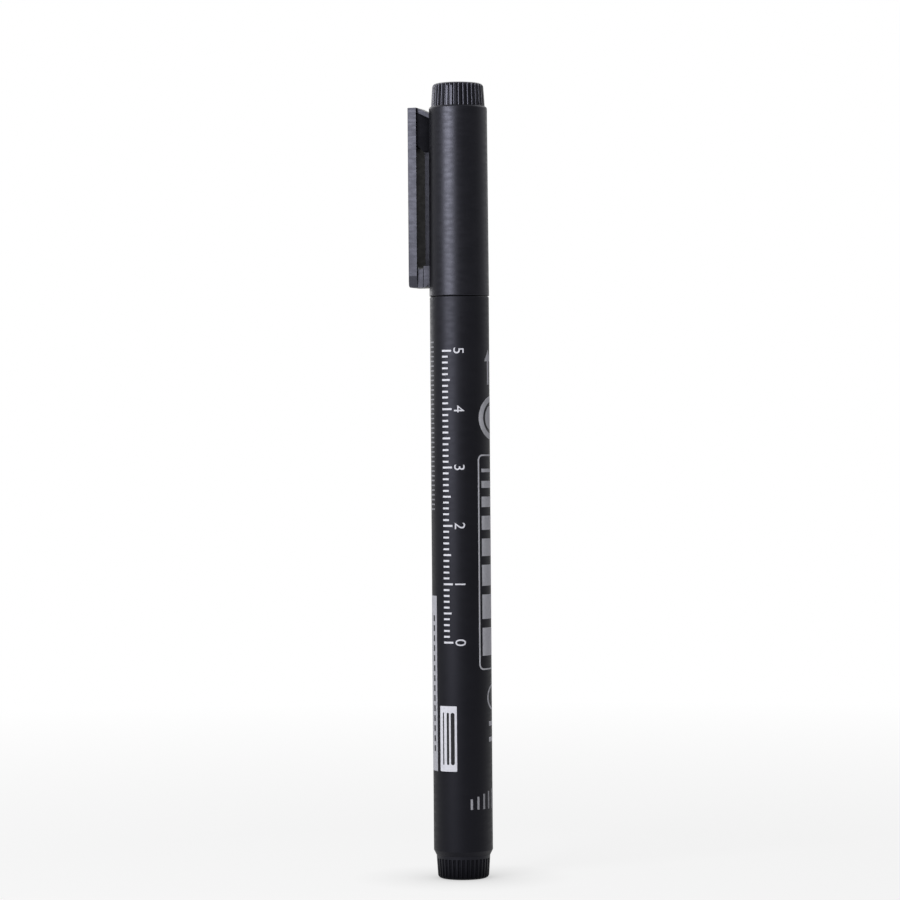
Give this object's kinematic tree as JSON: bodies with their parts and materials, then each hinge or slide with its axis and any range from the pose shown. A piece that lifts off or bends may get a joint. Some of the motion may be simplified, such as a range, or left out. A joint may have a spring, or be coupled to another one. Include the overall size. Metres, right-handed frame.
{
  "type": "permanent marker",
  "caption": "Slim capped permanent marker: straight round barrel, pull-off cap with a flat side clip, ribbed crown and tail plugs, fine fibre nib fed by a film-wrapped ink reservoir.",
  "frame": {"origin": "centre of the tail plug's flat end face, on the marker's axis", "axes": "+Z along the axis from the tail to the crown, clip towards -X, +Y completes the right-handed set"},
  "size_m": [0.0136, 0.0102, 0.137],
  "materials": {
    "shell_plastic": "satin moulded black plastic",
    "plug_plastic": "satin moulded black plastic, ribbed",
    "section_plastic": "smooth moulded black plastic",
    "liner_plastic": "natural soft plastic",
    "film": "thin clear film stained by ink",
    "ink_fibre": "bonded fibre soaked with black ink",
    "nib_fibre": "hard bonded fibre stained black"
  },
  "bodies": {
    "pen": {"barrel": "shell_plastic", "tail_plug": "plug_plastic", "reservoir_core": "ink_fibre", "reservoir_wrap": "film", "nib_holder": "section_plastic", "nib": "nib_fibre"},
    "cap": {"cap_shell": "shell_plastic", "inner_cap": "liner_plastic", "crown_plug": "plug_plastic"}
  },
  "joints": [
    {"name": "cap_pull", "type": "slide", "parent": "pen", "child": "cap", "axis": [0, 0, 1], "range_m": [0, 0.04]}
  ]
}
